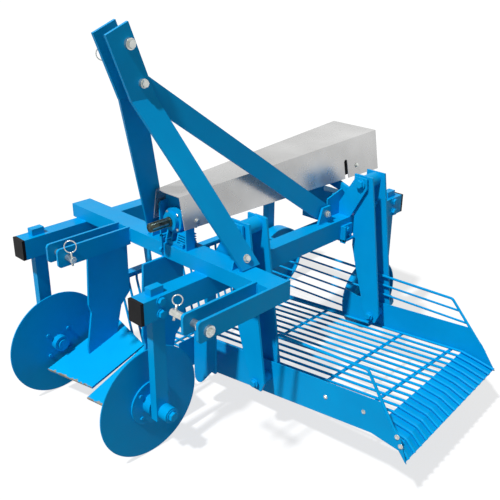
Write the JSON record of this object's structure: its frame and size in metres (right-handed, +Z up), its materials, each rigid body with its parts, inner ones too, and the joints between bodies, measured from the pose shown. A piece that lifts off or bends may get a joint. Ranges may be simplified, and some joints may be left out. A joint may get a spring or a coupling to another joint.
{
  "type": "potato digger",
  "caption": "Tractor-mounted single-row potato digger: share, shaken bar sieve with side discharge, coulter discs and rear support wheels on a three-point hitch frame.",
  "frame": {"origin": "on the ground, below the middle of the machine's outline", "axes": "+Z up, -Y towards the tractor, +X towards the discharge side"},
  "size_m": [1.7556, 1.947, 1.733],
  "materials": {
    "blue_paint": "gloss",
    "sieve_paint": "gloss",
    "cover_paint": "satin",
    "black_plastic": "matte",
    "zinc": "satin",
    "raw_steel": "satin"
  },
  "bodies": {
    "frame": {"brace_bar": "blue_paint", "brace_bolt": "zinc", "brace_lug": "blue_paint", "coulter_stalk_far": "blue_paint", "coulter_stalk_near": "blue_paint", "drive_cover": "cover_paint", "front_bearing": "blue_paint", "front_cross_tube": "blue_paint", "hitch_pin_far": "zinc", "hitch_pin_near": "zinc", "hitch_plates_far": "blue_paint", "hitch_plates_near": "blue_paint", "link_brackets": "blue_paint", "longitudinal_far": "blue_paint", "longitudinal_near": "blue_paint", "mast_bolt": "zinc", "mast_foot_far": "blue_paint", "mast_foot_near": "blue_paint", "mast_leg_far": "blue_paint", "mast_leg_near": "blue_paint", "rear_bearing_bridge": "blue_paint", "rear_cross_tube": "blue_paint", "rocker_bracket_front": "blue_paint", "rocker_bracket_rear": "blue_paint", "share_blade_far": "blue_paint", "share_blade_near": "blue_paint", "share_carrier_far": "blue_paint", "share_carrier_near": "blue_paint", "top_link_pin": "zinc", "tube_caps": "black_plastic", "wheel_stalk_far": "blue_paint", "wheel_stalk_near": "blue_paint"},
    "coulter_near": {"coulter_disc_near": "blue_paint"},
    "coulter_far": {"coulter_disc_far": "blue_paint"},
    "support_wheel_near": {"wheel_near": "blue_paint"},
    "support_wheel_far": {"wheel_far": "blue_paint"},
    "shaft": {"drive_shaft": "raw_steel"},
    "rod": {"connecting_rod": "blue_paint"},
    "rear_rocker": {"rocker_rear": "blue_paint"},
    "front_rocker": {"rocker_front": "blue_paint"},
    "rear_link": {"sieve_link_rear": "blue_paint"},
    "front_link": {"sieve_link_front": "blue_paint"},
    "sieve": {"discharge_apron": "sieve_paint", "front_rail": "sieve_paint", "closed_end_bars": "sieve_paint", "floor_bars": "sieve_paint", "mouth_bars": "sieve_paint", "closed_end_rail": "sieve_paint", "sieve_front_wall": "sieve_paint", "mouth_side_plate": "sieve_paint", "sieve_rear_wall": "sieve_paint", "rear_fence": "sieve_paint", "sieve_cross_strips": "sieve_paint"}
  },
  "joints": [
    {"name": "coulter_near_spin", "type": "hinge", "parent": "frame", "child": "coulter_near", "pos_m": [-0.0693, -0.7295, 0.244], "axis": [1, 0, 0], "continuous": true},
    {"name": "coulter_far_spin", "type": "hinge", "parent": "frame", "child": "coulter_far", "pos_m": [-0.7373, -0.7295, 0.244], "axis": [1, 0, 0], "continuous": true},
    {"name": "wheel_near_spin", "type": "hinge", "parent": "frame", "child": "support_wheel_near", "pos_m": [-0.0673, 0.7835, 0.19], "axis": [1, 0, 0], "continuous": true},
    {"name": "wheel_far_spin", "type": "hinge", "parent": "frame", "child": "support_wheel_far", "pos_m": [-0.7393, 0.7835, 0.19], "axis": [1, 0, 0], "continuous": true},
    {"name": "shaft_spin", "type": "hinge", "parent": "frame", "child": "shaft", "pos_m": [-0.1858, -0.5015, 0.93], "axis": [0, 1, 0], "continuous": true},
    {"name": "rear_rocker_swing", "type": "hinge", "parent": "frame", "child": "rear_rocker", "pos_m": [0.0912, 0.4815, 0.94], "axis": [0, 1, 0], "range_deg": [-1.65, 1.65]},
    {"name": "front_rocker_swing", "type": "hinge", "parent": "frame", "child": "front_rocker", "pos_m": [0.0912, -0.3235, 0.94], "axis": [0, 1, 0], "range_deg": [-1.65, 1.65]},
    {"name": "rear_link_swing", "type": "hinge", "parent": "frame", "child": "rear_link", "pos_m": [-0.8113, 0.4115, 0.636], "axis": [0, 1, 0], "range_deg": [-3.6, 3.6]},
    {"name": "front_link_swing", "type": "hinge", "parent": "frame", "child": "front_link", "pos_m": [-0.8113, -0.1475, 0.636], "axis": [0, 1, 0], "range_deg": [-3.6, 3.6]},
    {"name": "sieve_level", "type": "hinge", "parent": "rear_rocker", "child": "sieve", "pos_m": [0.1892, 0.4815, 0.29], "axis": [0, 1, 0], "range_deg": [-1.65, 1.65]},
    {"name": "rod_level", "type": "hinge", "parent": "rear_rocker", "child": "rod", "pos_m": [0.1088, 0.4755, 0.8233], "axis": [0, 1, 0], "range_deg": [-1.65, 1.65]}
  ],
  "couplings": [
    {"joint": "front_rocker_swing", "follows": "rear_rocker_swing", "ratio": 1},
    {"joint": "rear_link_swing", "follows": "rear_rocker_swing", "ratio": 2.1242},
    {"joint": "front_link_swing", "follows": "rear_rocker_swing", "ratio": 2.1242},
    {"joint": "sieve_level", "follows": "rear_rocker_swing", "ratio": -1},
    {"joint": "rod_level", "follows": "rear_rocker_swing", "ratio": -1}
  ]
}
